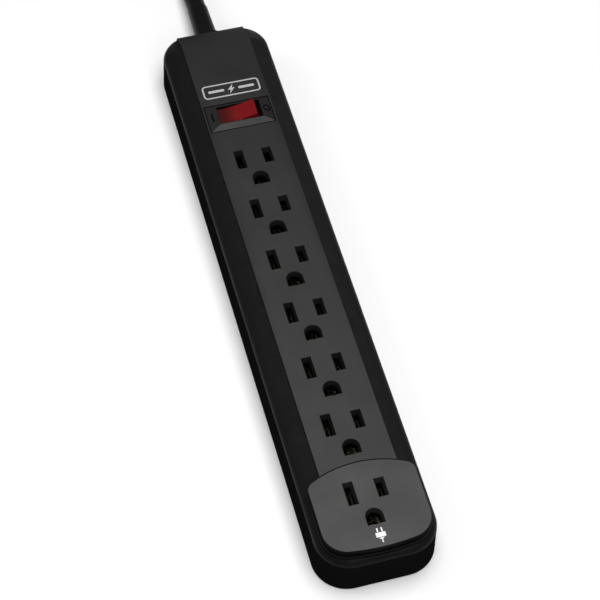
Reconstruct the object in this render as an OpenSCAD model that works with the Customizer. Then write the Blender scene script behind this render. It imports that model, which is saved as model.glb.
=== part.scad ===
// Power strip with surge protection: seven three-pin outlets in a row, a lit rocker switch
// and a mains lead that is folded into a tied hank with its plug lying on it.
// The strip lies face up. +Y points to the end that the lead leaves, +Z points up, and the
// origin is the middle of the strip's underside. All sizes are in millimetres.

/* [Housing] */
// Width of the housing at its base
body_w = 51.4; // [50.8:0.2:52.4]
// Length of the housing
body_l = 289; // [288:0.5:291]
// Height of the outlet face above the table
body_h = 25.4; // [25.2:0.1:26.4]
// Plan radius of the housing's corners at the base
corner_r = 14.5; // [13:0.5:16]
// Thickness of the moulded walls
wall = 2.2; // [1.8:0.1:2.4]

/* [Outlet face] */
// Width of the flat centre panel
panel_w = 32.2; // [31:0.2:33]
// How far the panel stands above the shoulders beside it
panel_step = 0.8; // [0.4:0.1:1]
// Thickness of the panel and of the adapter pad
panel_t = 2.8; // [2.4:0.1:3]
// Where the first outlet's blade slots sit along the strip
outlet1_y = 59.4; // [58:0.2:61]
// Distance from one outlet to the next in the row
outlet_pitch = 28.575; // [28:0.025:29]
// Extra distance to the last outlet, which takes bulky adapters
adapter_pitch = 32.5; // [31:0.5:33]

/* [Switch] */
// Where the switch's middle sits along the strip
switch_y = 85.2; // [84:0.2:87]
// Angle that the rocker turns between on and off
rocker_throw = 22; // [18:1:24]
// Height of the switch's frame above the panel
bezel_h = 2; // [1:0.2:3]

/* [Lead] */
// Diameter of the mains lead
cord_d = 9; // [8:0.2:9.4]
// Height of the lead's middle where it leaves the housing
cord_z = 9; // [9:0.1:10]
// Half the straight length of the hank's waist, which sets how much lead the hank takes up
waist_half = 9; // [8:1:14]

/* [Hidden] */

eps = 0.01;
fine = 64;
medium = 32;
clear = 0.1;

// Housing
draft = 0.5;
base_gap = 0.6;
wall_top_z = body_h - 8.5;
edge_r = 3.5;
shoulder_out = 1.55;
shoulder_w = body_w / 2 - draft - panel_w / 2;
shoulder_top_z = body_h - panel_step;
ceiling_z = 20.8;
half_l = body_l / 2;
half_w = body_w / 2;
bevel_y = half_l - 14;
bevel_angle = 25.5;
panel_bottom = body_h - panel_t;
panel_end = half_l - 1.3;
slope_t = 1.9;
panel_near = -109;
opening_end = half_l - 4;
ledge = 1.9;

// Outlets
outlet_ys = [for (i = [0:5]) outlet1_y - i * outlet_pitch];
adapter_y = outlet1_y - 5 * outlet_pitch - adapter_pitch;
all_ys = concat(outlet_ys, [adapter_y]);
blade_x = 6.35;
ground_dy = 11.9;
slot_w = 4.3;
neutral_l = 10.5;
hot_l = 8.6;
lead_in = 0.95;
ground_r = 3.7;
ground_r_in = 2.98;
ground_flat = 3.5;
guide_l = 3;
guide_wall = 0.9;
guide_z = body_h - panel_t - guide_l;

// Adapter pad: its outline is an arch, two sides and a shallow bow, with round corners
pad_w = 44.4;
arch_r = 45;
arch_crown = -103;
bow_r = 95;
bow_crown = -141.4;
pad_far_r = 4;
pad_near_r = 10;
arc_steps = 10;
skirt = 1.6;
skirt_z = 19.8;
pad_ledge_z = 17.8;
seam = 0.45;

// Screws
screw_x = 17.5;
screw_ys = [-98, 0, 128];
boss_r = 3.2;
screw_r = 1.25;
head_r = 2.8;
head_t = 1.2;

// Keyholes in the base
key_x = -17.3;
key_ys = [-60, 60];
key_head_r = 4;
key_slot_r = 2.1;
key_slot_l = 8;
key_pocket_z = 8.2;

// Switch
pivot_z = body_h - 3.5;
rocker_half = 8.6;
rocker_w = 8.8;
rocker_top = 5.95;
rocker_bottom = -2.6;
rocker_dish = 0.8;
rocker_skin = 1.2;
trunnion_r = 1.5;
trunnion_half = 5.75;
bezel_in_x = 10;
bezel_in_y = 5;
bezel_out_x = 14.8;
bezel_out_y = 7.5;
collar_x = 11.3;
collar_y = 6.4;
collar_z = 18;
rest_tilt = -rocker_throw / 2;
bridge_ratio = -8 / 11;
bridge_rest = rest_tilt * bridge_ratio;
bridge_z = pivot_z - 7.7;
bridge_w = 4;
bridge_pivot_r = 0.7;
bridge_pivot_l = 4.6;
switch_z = 6;
spade_z = 7.4;
spade_xs = [-7, 0, 7];
spade_end = switch_y + 14;

// Contacts
bus_z = 4.5;
bus_t = 0.8;
bus_end = 72;
rib_end = 66.5;
rib_top = 12;
bus_start = -133;
leaf_t = 0.5;
leaf_gap = 1.7;
leaf_l = 7;
leaf_top = 17.4;
socket_top = 15.6;
carrier_x = 11;

// Board
board_y0 = 103;
board_y1 = 122;
board_x = 20;
board_z = 4;
board_t = 1.6;
varistor_r = 6.3;
varistor_t = 4.4;
varistor_places = [[-13.4, 108.4], [-13.4, 117], [13.4, 108.4]];
fuse_x = 9;
fuse_y = 117;

// Lead
cord_r = cord_d / 2;
bore_gap = 0.1;
clamp_y0 = 126;
clamp_y1 = 131;
cord_sides = 12;
wire_sides = 8;
wire_r = 1.4;
relief_end = 168;
flange_r = 8;
flange_t = 2.4;
// The free lead's route, from the clamp to where it joins the hank
cord_route = [[0, 124, 9], [0, 140, 9], [0, 156, 9], [0, 168, 8.8], [0, 180, 7.6], [0, 190, 6.2],
    [-1.2, 199.3, 5.2], [-4.8, 208, 4.7], [-10.6, 215.4, 4.6]];
line_route = [[-2.2, 124, 7.8], [-3.4, 118, 7.5], [-4, 112, 7.4], [-4.6, 107, 7.4],
    [-6.4, 103.6, 7.4], [-7, 102, 7.4], [-7, 100.6, 7.4]];
neutral_route = [[0, 124, 11.3], [-0.4, 118, 11.6], [-1, 112, 11.8], [-3, 106, 11.8],
    [-7.5, 101.5, 11.6], [-12.6, 98, 10], [-14.2, 92, 8.6], [-14.2, 86, 8.4], [-14.2, 81, 8.2],
    [-11.6, 77, 7.4], [-7.6, 73.8, 6.8], [-6.35, 70, 6.7], [-6.35, 67, 6.7]];
ground_route = [[2.2, 124, 7.8], [3.4, 118, 8.4], [4, 112, 10], [4.6, 106, 12], [8.5, 101.5, 13.2],
    [13, 97.6, 13.4], [14.2, 92, 13.4], [14.2, 86, 13.4], [14.2, 81, 13], [11.6, 77, 12.4],
    [6, 75.8, 11.8], [1.6, 74.4, 9.6], [0, 71, 7.1], [0, 67, 6.7]];
switched_route = [[7, 100.6, 7.4], [7, 102, 7.4], [8.6, 103.6, 7.5], [11.6, 102.8, 7.8],
    [13.8, 99.4, 8], [14.2, 94, 8.4], [14.2, 86, 8.4], [14.2, 81, 8.2], [11.6, 77, 7.4],
    [7.6, 73.8, 6.8], [6.35, 70, 6.7], [6.35, 67, 6.7]];

// Hank: two round end loops, flares that bend back from them, and a straight waist between.
// Two lanes lie side by side in each of two layers, and the last half turn lies on top.
layer = cord_d;
loop_r = 4 * cord_d;
lane_out = 1.5 * cord_d;
flare_r = 4 * cord_d;
flare_x = lane_out + flare_r;
loop_dy = waist_half + sqrt(pow(loop_r + flare_r, 2) - flare_x * flare_x);
flare_a = acos(flare_x / (loop_r + flare_r));
bend_y = 190;
hank_near = bend_y + sqrt(3) * loop_r;
hank_y = hank_near + loop_dy;
top_layers = 2;
top_turn_y = 36;
top_lane_x = -9;
tie_y0 = -1;
tie_y1 = 8;
tie_t = 0.9;
tie_x = 18.3;
tie_h = 36.8;

// Plug, which lies on the hank with its blades towards the strip
plug_z = top_layers * layer + 12;
plug_x = 5;
plug_y = hank_y - 14;
plug_l = 38;
plug_w = 27;
plug_h = 24;
plug_relief_l = 30;
grip_l = 16;
blade_l = 17.5;
blade_w = 6.35;
blade_t = 1.52;
blade_up = -5.95;
pin_l = 20.6;
pin_r = 2.38;
pin_root_r = 2;
rooted = 9.9;
snug = 0.02;
// The last of the lead, from the hank's top turn to the plug, about the hank's middle
tail_route = [[16.6, 40.6, 22.6], [11.4, 34, 23.4], [8.6, 29, 25.2], [6.6, 24, 27.6],
    [5.3, 19.6, 29.4], [5, 16, 30]];

// Points of an arc about centre c, from angle a to angle b
function arc(c, r, a, b, n = arc_steps) =
    [for (i = [0:n]) c + r * [cos(a + (b - a) * i / n), sin(a + (b - a) * i / n)]];

// Cubic curve through four points, at t between the middle two
function spline(a, b, c, d, t) = 0.5 * (2 * b + (c - a) * t + (2 * a - 5 * b + 4 * c - d) * t * t
    + (3 * b - a - 3 * c + d) * t * t * t);

// A smooth line through the route's points, with n steps between neighbours
function smooth(p, n) = concat([for (i = [0:len(p) - 2]) for (k = [0:n - 1])
    spline(p[max(i - 1, 0)], p[i], p[i + 1], p[min(i + 2, len(p) - 1)], k / n)],
    [p[len(p) - 1]]);

function unit(v) = v / norm(v);

// One ring of a tube about the point p, square to the direction t
function ring(p, t, r, sides) = let (s = unit(cross(t, [0, 0, 1])), u = cross(s, t))
    [for (i = [0:sides - 1]) p + r * (cos(360 * i / sides) * s + sin(360 * i / sides) * u)];

// A closed tube swept along the line p
module tube(p, r, sides) {
    n = len(p);
    points = [for (i = [0:n - 1])
        each ring(p[i], unit(p[min(i + 1, n - 1)] - p[max(i - 1, 0)]), r, sides)];
    walls = [for (i = [0:n - 2]) for (k = [0:sides - 1]) let (m = (k + 1) % sides)
        [i * sides + k, (i + 1) * sides + k, (i + 1) * sides + m, i * sides + m]];
    first = [for (k = [0:sides - 1]) k];
    last = [for (k = [0:sides - 1]) (n - 1) * sides + sides - 1 - k];
    polyhedron(points, concat(walls, [first, last]), convexity = 4);
}

module box(x0, x1, y0, y1, z0, z1) {
    translate([x0, y0, z0]) cube([x1 - x0, y1 - y0, z1 - z0]);
}

// A plate with four round corners
module rounded_plate(w, l, r, z0, z1) {
    for (sx = [-1, 1]) for (sy = [-1, 1])
        translate([sx * (w / 2 - r), sy * (l / 2 - r), z0]) cylinder(r = r, h = z1 - z0, $fn = fine);
    box(r - w / 2, w / 2 - r, -l / 2, l / 2, z0, z1);
    box(-w / 2, w / 2, r - l / 2, l / 2 - r, z0, z1);
}

// A block whose sides lean in, from [w, l] at its top to [w, l] less 2 * lean at its bottom
module lead_in_block(w, l, z0, z1, lean) {
    intersection() {
        rotate([90, 0, 0]) linear_extrude(height = 2 * l, center = true)
            polygon([[lean - w / 2, z0], [w / 2 - lean, z0], [w / 2, z1], [-w / 2, z1]]);
        rotate([90, 0, 90]) linear_extrude(height = 2 * w, center = true)
            polygon([[lean - l / 2, z0], [l / 2 - lean, z0], [l / 2, z1], [-l / 2, z1]]);
    }
}

// Section of the housing from its middle line out to its wall; in is how far inside the
// outer skin, and reach is the half width that the section spans
function section(reach, in) = concat(
    [[0, base_gap - (in > 0 ? 1 : 0)], [reach - in, base_gap - (in > 0 ? 1 : 0)]],
    [[reach - draft - in, wall_top_z]],
    [for (i = [1:5]) [reach - draft - edge_r, wall_top_z]
        + (edge_r - in) * [cos(i * 11.5), sin(i * 11.5)]],
    [[reach - draft - shoulder_w - in * 0.3, min(shoulder_top_z, in > 0 ? ceiling_z : 100)]],
    [[0, in > 0 ? ceiling_z : shoulder_top_z]]);

// The section swept round the plan of the housing
module swept(in) {
    for (sx = [-1, 1]) for (sy = [-1, 1])
        translate([sx * (half_w - corner_r), sy * (half_l - corner_r), 0])
            rotate_extrude($fn = fine) polygon(section(corner_r, in));
    for (side = [0, 180]) {
        rotate([0, 0, side]) translate([half_w - corner_r, 0, 0]) rotate([90, 0, 0])
            linear_extrude(height = body_l - 2 * corner_r, center = true) polygon(section(corner_r, in));
        rotate([0, 0, side]) translate([0, half_l - corner_r, 0]) rotate([90, 0, 90])
            linear_extrude(height = body_w - 2 * corner_r, center = true) polygon(section(corner_r, in));
    }
    box(corner_r - half_w, half_w - corner_r, corner_r - half_l, half_l - corner_r,
        base_gap - (in > 0 ? 1 : 0), in > 0 ? ceiling_z : shoulder_top_z);
}

// The space above the bevel at the lead's end
module above_bevel(z) {
    translate([0, bevel_y, z]) rotate([-bevel_angle, 0, 0]) box(-half_w - 1, half_w + 1, 0, 30, 0, 20);
}

// Corner fillets of the pad's outline, grown by d
function fillet_y(r_big, r, x) = sqrt((r_big - r) * (r_big - r) - x * x);
function pad_outline(d) = let (
    xf = pad_w / 2 - pad_far_r,
    yf = fillet_y(arch_r, pad_far_r, xf),
    xn = pad_w / 2 - pad_near_r,
    yn = fillet_y(bow_r, pad_near_r, xn),
    arch_c = [0, arch_crown - arch_r],
    bow_c = [0, bow_crown + bow_r],
    af = atan2(yf, xf),
    an = atan2(yn, xn))
    concat(
        arc(arch_c, arch_r + d, af, 180 - af, 2 * arc_steps),
        arc(arch_c + [-xf, yf], pad_far_r + d, 180 - af, 180),
        arc(bow_c + [-xn, -yn], pad_near_r + d, 180, 180 + an),
        arc(bow_c, bow_r + d, 180 + an, 360 - an),
        arc(bow_c + [xn, -yn], pad_near_r + d, 360 - an, 360),
        arc(arch_c + [xf, yf], pad_far_r + d, 0, af));

module pad_prism(d, z0, z1) {
    translate([0, 0, z0]) linear_extrude(height = z1 - z0) polygon(pad_outline(d));
}

// An arch with a flat near side: r0 wide at z0 and r1 at z1
module arch_block(r0, r1, flat0, flat1, z0, z1) {
    translate([0, 0, z0]) cylinder(r1 = r0, r2 = r1, h = z1 - z0, $fn = medium);
    intersection() {
        rotate([90, 0, 0]) linear_extrude(height = 4 * r1, center = true)
            polygon([[-r0, z0], [r0, z0], [r1, z1], [-r1, z1]]);
        rotate([90, 0, 90]) linear_extrude(height = 4 * r1, center = true)
            polygon([[-flat0, z0], [0, z0], [0, z1], [-flat1, z1]]);
    }
}

// The two blade slots and the ground hole of an outlet. Each narrows through the plate's
// thickness and goes straight on through the guides under it.
module outlet_holes(y) {
    for (side = [[-blade_x, neutral_l], [blade_x, hot_l]]) translate([side[0], y, 0]) {
        lead_in_block(slot_w, side[1], panel_bottom - eps, body_h + eps, lead_in);
        slot_core(side[1], 0, guide_z - 1, panel_bottom);
    }
    translate([0, y - ground_dy, 0]) {
        ground_core(0, guide_z - 1, panel_bottom);
        intersection() {
            arch_block(ground_r_in, ground_r, ground_flat - lead_in, ground_flat,
                panel_bottom - eps, body_h + eps);
            box(-ground_r, ground_r, -ground_flat - 1, ground_r, panel_bottom - 1, body_h + 1);
        }
    }
}

module slot_core(l, grow, z0, z1) {
    w = slot_w / 2 - lead_in + grow;
    box(-w, w, lead_in - l / 2 - grow, l / 2 - lead_in + grow, z0, z1);
}

module ground_core(grow, z0, z1) {
    r = ground_r_in + grow;
    intersection() {
        arch_block(r, r, ground_flat - lead_in + grow, ground_flat - lead_in + grow, z0, z1);
        box(-r, r, lead_in - ground_flat - grow, r, z0, z1);
    }
}

// The guides that lead a plug's blades and pin down to the contacts
module outlet_guides(y) {
    for (side = [[-blade_x, neutral_l], [blade_x, hot_l]]) translate([side[0], y, 0])
        slot_core(side[1], guide_wall, guide_z, panel_bottom + eps);
    translate([0, y - ground_dy, 0]) ground_core(guide_wall, guide_z, panel_bottom + eps);
}

// Side profile of the panel, which folds down over the bevel; d grows its end and underside
module panel_profile(w, d) {
    slope = tan(bevel_angle);
    end_z = body_h - (panel_end - bevel_y) * slope;
    drop = slope_t / cos(bevel_angle);
    knee = bevel_y - (panel_t - drop) / slope;
    rotate([90, 0, 90]) linear_extrude(height = w, center = true) polygon([
        [panel_near, panel_bottom - d], [knee, panel_bottom - d],
        [panel_end + d, end_z - drop - d], [panel_end + d, end_z + (d > 0 ? 2 * d + 9 : 0)],
        [bevel_y, body_h + d], [panel_near, body_h + d]]);
}

module top_housing() color([0.035, 0.035, 0.038]) {
    difference() {
        union() {
            difference() {
                swept(0);
                swept(wall);
            }
            for (x = [-screw_x, screw_x]) for (y = screw_ys)
                translate([x, y, wall + 0.4]) cylinder(r = boss_r, h = ceiling_z - wall, $fn = medium);
            difference() {
                pad_prism(0.9, pad_ledge_z, ceiling_z + 0.5);
                pad_prism(-2, pad_ledge_z - 1, ceiling_z + 1);
            }
        }
        above_bevel(shoulder_top_z);
        panel_profile(panel_w + 2 * clear, clear);
        rotate([90, 0, 90]) linear_extrude(height = panel_w - 2 * ledge, center = true) polygon([
            [panel_near, skirt_z - 1], [bevel_y - 4, skirt_z - 1], [opening_end, wall_top_z - 2],
            [opening_end, body_h], [panel_near, body_h]]);
        pad_prism(clear, skirt_z, body_h);
        pad_prism(-2, pad_ledge_z - 1, body_h);
        for (x = [-screw_x, screw_x]) for (y = screw_ys)
            translate([x, y, 0]) cylinder(r = screw_r + 0.05, h = 14, $fn = medium);
        translate([0, half_l - 2 * wall, cord_z]) rotate([-90, 0, 0])
            cylinder(r = cord_r + 1.5, h = 3 * wall, $fn = fine);
    }
}

module outlet_panel() color([0.09, 0.09, 0.095]) difference() {
    union() {
        panel_profile(panel_w, 0);
        for (y = outlet_ys) outlet_guides(y);
    }
    pad_prism(seam, panel_bottom - 1, body_h + 1);
    for (y = outlet_ys) outlet_holes(y);
    box(-collar_x - clear, collar_x + clear, switch_y - collar_y - clear,
        switch_y + collar_y + clear, panel_bottom - 1, body_h + 1);
}

module adapter_pad() color([0.11, 0.11, 0.115]) difference() {
    pad_prism(0, skirt_z, body_h);
    difference() {
        pad_prism(-skirt, skirt_z - 1, panel_bottom);
        outlet_guides(adapter_y);
    }
    outlet_holes(adapter_y);
}

module keyhole(z0, z1) {
    translate([0, 0, z0]) cylinder(r = key_head_r, h = z1 - z0, $fn = medium);
    translate([0, key_slot_l, z0]) cylinder(r = key_slot_r, h = z1 - z0, $fn = medium);
    box(-key_slot_r, key_slot_r, 0, key_slot_l, z0, z1);
}

module bottom_cover() color([0.05, 0.05, 0.055]) difference() {
    union() {
        rounded_plate(2 * (half_w - wall - 0.6), 2 * (half_l - wall - 0.6), corner_r - wall - 0.6, 0, wall);
        for (y = key_ys) translate([key_x, y, 0])
            box(-5.2, 5.2, -5.2, key_slot_l + 5.2, wall - 0.1, key_pocket_z);
        box(-10, 10, clamp_y0, clamp_y1, wall - 0.1, cord_z);
    }
    for (y = key_ys) translate([key_x, y, 0]) {
        keyhole(-1, wall);
        box(-4.2, 4.2, -4.2, key_slot_l + 4.2, wall, key_pocket_z - 1);
    }
    for (x = [-screw_x, screw_x]) for (y = screw_ys) translate([x, y, 0]) {
        cylinder(r = screw_r + 0.4, h = 3 * wall, center = true, $fn = medium);
        translate([0, 0, -1]) cylinder(r = head_r + 0.3, h = 1 + head_t, $fn = medium);
    }
    translate([0, clamp_y0 - 1, cord_z]) rotate([-90, 0, 0])
        cylinder(r = cord_r + bore_gap, h = clamp_y1 - clamp_y0 + 2, $fn = medium);
    for (x = [-8, 8]) translate([x, (clamp_y0 + clamp_y1) / 2, 3])
        cylinder(r = 1.05, h = cord_z, $fn = medium);
}

module cross_screw(z_head, l, r, rh, t) {
    difference() {
        translate([0, 0, z_head]) cylinder(r = rh, h = t, $fn = medium);
        for (a = [0, 90]) rotate([0, 0, a])
            box(-rh * 0.62, rh * 0.62, -0.35, 0.35, z_head - 1, z_head + t * 0.55);
    }
    translate([0, 0, z_head + t - eps]) cylinder(r = r, h = l, $fn = medium);
}

module housing_screws() color([0.55, 0.56, 0.58])
    for (x = [-screw_x, screw_x]) for (y = screw_ys)
        translate([x, y, 0]) cross_screw(0.1, 10, screw_r, head_r, head_t - 0.1);

module switch_bezel() color([0.1, 0.1, 0.105]) difference() {
    union() {
        translate([0, switch_y, 0]) intersection() {
            rotate([90, 0, 0]) linear_extrude(height = 4 * bezel_out_y, center = true)
                polygon([[-bezel_out_x, body_h], [bezel_out_x, body_h],
                    [bezel_in_x + 0.5, body_h + bezel_h], [-bezel_in_x - 0.5, body_h + bezel_h]]);
            rotate([90, 0, 90]) linear_extrude(height = 4 * bezel_out_x, center = true)
                polygon([[-bezel_out_y, body_h], [bezel_out_y, body_h],
                    [bezel_in_y + 0.4, body_h + bezel_h], [-bezel_in_y - 0.4, body_h + bezel_h]]);
        }
        box(-collar_x, collar_x, switch_y - collar_y, switch_y + collar_y, collar_z, body_h + eps);
    }
    box(-bezel_in_x, bezel_in_x, switch_y - bezel_in_y, switch_y + bezel_in_y,
        collar_z - 1, body_h + bezel_h + 1);
    translate([0, switch_y, pivot_z]) rotate([90, 0, 0])
        cylinder(r = trunnion_r + 0.05, h = 2 * trunnion_half + 0.4, center = true, $fn = medium);
}

// The rocker is drawn level about its pivot and then tipped to its on position
module at_rocker() {
    translate([0, switch_y, pivot_z]) rotate([0, rest_tilt, 0]) children();
}

module switch_rocker() color([0.75, 0.04, 0.06, 0.9]) at_rocker() {
    dish_r = (rocker_half * rocker_half + rocker_dish * rocker_dish) / (2 * rocker_dish);
    difference() {
        box(-rocker_half, rocker_half, -rocker_w / 2, rocker_w / 2, rocker_bottom, rocker_top);
        translate([0, 0, rocker_top - rocker_dish + dish_r]) rotate([90, 0, 0])
            cylinder(r = dish_r, h = 2 * rocker_w, center = true, $fn = 2 * fine);
        box(rocker_skin - rocker_half, rocker_half - rocker_skin, rocker_skin - rocker_w / 2,
            rocker_w / 2 - rocker_skin, rocker_bottom - 1, rocker_top - rocker_dish - rocker_skin);
    }
    for (s = [-1, 1]) translate([0, s * (rocker_w / 2 - rocker_skin / 2), 0]) rotate([-s * 90, 0, 0])
        cylinder(r = trunnion_r, h = trunnion_half - rocker_w / 2 + rocker_skin / 2, $fn = medium);
    difference() {
        translate([0, 0, -4.6]) cylinder(r = 2.1, h = rocker_top - rocker_dish - 0.6 + 4.6, $fn = medium);
        translate([0, 0, -5]) cylinder(r = 1.35, h = 7.4, $fn = medium);
    }
}

module rocker_plunger() color([0.85, 0.84, 0.8]) at_rocker() {
    translate([0, 0, -6.4]) cylinder(r = 1.25, h = 4.2, $fn = medium);
    translate([0, 0, -6.4]) sphere(r = 0.9, $fn = medium);
}

// A close-wound spring stands as a sleeve of its own outline
module plunger_spring() color([0.7, 0.7, 0.72]) at_rocker() {
    translate([0, 0, -2.1]) difference() {
        cylinder(r = 1.25, h = 4.3, $fn = medium);
        translate([0, 0, -1]) cylinder(r = 0.85, h = 6.3, $fn = medium);
    }
}

module neon_lamp() color([0.95, 0.55, 0.35, 0.6]) at_rocker() {
    translate([3, -0.6, 2.2]) rotate([0, 90, 0]) cylinder(r = 1.3, h = 3.4, $fn = medium);
    translate([6.4, -0.6, 2.2]) sphere(r = 0.8, $fn = medium);
}

module lamp_resistor() color([0.75, 0.65, 0.45]) at_rocker() {
    translate([-6.6, 0, 2.4]) rotate([0, 90, 0]) cylinder(r = 0.9, h = 4, $fn = medium);
}

module switch_body() color([0.08, 0.08, 0.085]) difference() {
    box(-collar_x, collar_x, switch_y - collar_y, switch_y + collar_y, switch_z, collar_z);
    box(1.2 - collar_x, collar_x - 1.2, switch_y - collar_y + 1.2, switch_y + collar_y - 1.2,
        switch_z + 1.8, collar_z + 1);
    for (x = spade_xs)
        box(x - 2.5, x + 2.5, switch_y, switch_y + collar_y + 1, spade_z - 0.5, spade_z + 0.5);
}

// Spades at the back, with posts that carry the bridge and the fixed contact
module switch_terminals() color([0.8, 0.66, 0.35]) {
    for (x = spade_xs) difference() {
        box(x - 2.4, x + 2.4, switch_y + 0.6, spade_end, spade_z - 0.4, spade_z + 0.4);
        translate([x, spade_end - 4, spade_z]) cylinder(r = 0.8, h = 3, center = true, $fn = medium);
    }
    box(-1, 1, switch_y + 1.2, switch_y + 2.4, spade_z + 0.4 - eps, bridge_z - 1.1);
    box(5, 8, switch_y + 1.2, switch_y + 3, spade_z + 0.4 - eps, bridge_z - 4.2);
    box(5, 8, switch_y - 2, switch_y + 3, bridge_z - 4.2, bridge_z - 3.4);
}

module contact_bridge() color([0.82, 0.52, 0.3])
    translate([0, switch_y, bridge_z]) rotate([0, bridge_rest, 0]) {
        box(-7.6, 7.6, -bridge_w / 2, bridge_w / 2, -0.5, 0);
        for (x = [-6.4, 6.4]) translate([x, 0, -1.3]) cylinder(r = 1.2, h = 0.9, $fn = medium);
        difference() {
            rotate([90, 0, 0])
                cylinder(r = bridge_pivot_r, h = bridge_pivot_l, center = true, $fn = medium);
            box(-1, 1, 0.7 - bridge_w / 2, bridge_w / 2 - 0.7, eps, 1);
        }
    }

// The insulating tray that keeps the three conductors apart
module bus_carrier() color([0.8, 0.78, 0.7]) {
    box(-carrier_x, carrier_x, bus_start - 1, bus_end, wall, bus_z);
    for (s = [-1, 1]) {
        box(s * 3.65 - 0.4, s * 3.65 + 0.4, bus_start - 1, rib_end, bus_z - eps, rib_top);
        box(s * 10.3 - 0.5, s * 10.3 + 0.5, bus_start - 1, rib_end, bus_z - eps, rib_top);
    }
}

module bus(x, w) {
    box(x - w / 2, x + w / 2, bus_start, bus_end, bus_z, bus_z + bus_t);
}

module leaves(x) {
    for (y = all_ys) for (s = [-1, 1]) {
        box(x + s * (leaf_gap + leaf_t) / 2 - leaf_t / 2, x + s * (leaf_gap + leaf_t) / 2 + leaf_t / 2,
            y - leaf_l / 2, y + leaf_l / 2, bus_z + bus_t, leaf_top);
        box(x + s * (leaf_gap + leaf_t) / 2 + s * (leaf_t / 2 + 0.35) - 0.35,
            x + s * (leaf_gap + leaf_t) / 2 + s * (leaf_t / 2 + 0.35) + 0.35,
            y - leaf_l / 2, y + leaf_l / 2, leaf_top - leaf_t, leaf_top);
    }
}

module line_bus() color("goldenrod") bus(blade_x, 4.2);
module neutral_bus() color("goldenrod") bus(-blade_x, 4.2);
module ground_bus() color("goldenrod") bus(0, 3.6);
module line_contacts() color("darkgoldenrod") leaves(blade_x);
module neutral_contacts() color("darkgoldenrod") leaves(-blade_x);

module ground_contacts() color("darkgoldenrod") for (y = all_ys)
    translate([0, y - ground_dy, bus_z + bus_t]) difference() {
        cylinder(r = 3, h = socket_top - bus_z - bus_t, $fn = medium);
        translate([0, 0, 0.6]) cylinder(r = 2.5, h = socket_top, $fn = medium);
        box(-0.4, 0.4, -4, 4, 2, socket_top);
    }

module surge_board() color([0.1, 0.35, 0.15])
    box(-board_x, board_x, board_y0, board_y1, board_z, board_z + board_t);

module varistors() color([0.15, 0.25, 0.6]) for (p = varistor_places)
    translate([p[0], p[1], board_z + board_t + varistor_r + 0.2]) {
        rotate([90, 0, 0]) cylinder(r = varistor_r, h = varistor_t, center = true, $fn = medium);
        for (s = [-1, 1]) box(s * 3.5 - 0.4, s * 3.5 + 0.4, -0.4, 0.4, -varistor_r - 0.2, -varistor_r + 2);
    }

module thermal_fuse() color([0.7, 0.6, 0.45]) {
    translate([fuse_x, fuse_y, board_z + board_t + 1.8]) rotate([0, 90, 0])
        cylinder(r = 1.6, h = 9, $fn = medium);
}

module spade_connectors() color([0.75, 0.75, 0.78]) for (x = [-7, 7]) difference() {
    box(x - 3.2, x + 3.2, spade_end - 6, spade_end + 1.4, spade_z - 1.3, spade_z + 1.3);
    box(x - 2.5, x + 2.5, spade_end - 7, spade_end + 0.1, spade_z - 0.5, spade_z + 0.5);
}

module line_lead() color([0.06, 0.06, 0.06]) tube(smooth(line_route, 3), wire_r, wire_sides);
module neutral_lead() color([0.9, 0.9, 0.88]) tube(smooth(neutral_route, 3), wire_r, wire_sides);
module ground_lead() color([0.1, 0.5, 0.2]) tube(smooth(ground_route, 3), wire_r, wire_sides);
module switched_lead() color([0.06, 0.06, 0.06]) tube(smooth(switched_route, 3), wire_r, wire_sides);

module cord_clamp() color([0.75, 0.74, 0.7]) difference() {
    box(-10, 10, clamp_y0, clamp_y1, cord_z + 0.2, cord_z + 7.2);
    translate([0, clamp_y0 - 1, cord_z]) rotate([-90, 0, 0])
        cylinder(r = cord_r + bore_gap, h = clamp_y1 - clamp_y0 + 2, $fn = medium);
    for (x = [-8, 8]) translate([x, (clamp_y0 + clamp_y1) / 2, 0])
        cylinder(r = 1.25, h = 30, $fn = medium);
}

module clamp_screws() color([0.55, 0.56, 0.58]) for (x = [-8, 8])
    translate([x, (clamp_y0 + clamp_y1) / 2, cord_z + 8.5]) mirror([0, 0, 1])
        cross_screw(0, 11, 1, 1.9, 1.3);

module strain_relief() color([0.03, 0.03, 0.03]) translate([0, 0, cord_z]) rotate([-90, 0, 0])
    difference() {
        union() {
            translate([0, 0, half_l - wall - 2.8]) cylinder(r = cord_r + 2.2, h = 2, $fn = fine);
            translate([0, 0, half_l - wall - 2]) cylinder(r = cord_r + 1.4, h = wall + 3.4, $fn = fine);
            translate([0, 0, half_l + 0.2]) cylinder(r = flange_r, h = flange_t, $fn = fine);
            translate([0, 0, half_l + 1]) cylinder(r1 = cord_r + 0.85, r2 = cord_r + 0.35,
                h = relief_end - half_l - 1, $fn = fine);
        }
        translate([0, 0, half_l - 3 * wall]) cylinder(r = cord_r + bore_gap, h = 60, $fn = fine);
    }

module power_cord() color([0.04, 0.04, 0.04]) tube(smooth(cord_route, 3), cord_r, cord_sides);

// Plan of the hank's turns pressed together
function hank_outline() = let (r = loop_r + cord_r, f = flare_r - cord_r, a = flare_a) concat(
    arc([0, loop_dy], r, -a, 180 + a, 3 * arc_steps),
    arc([-flare_x, waist_half], f, a, 0),
    arc([-flare_x, -waist_half], f, 0, -a),
    arc([0, -loop_dy], r, 180 - a, 360 + a, 3 * arc_steps),
    arc([flare_x, -waist_half], f, 180 + a, 180),
    arc([flare_x, waist_half], f, 180, 180 - a));

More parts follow.
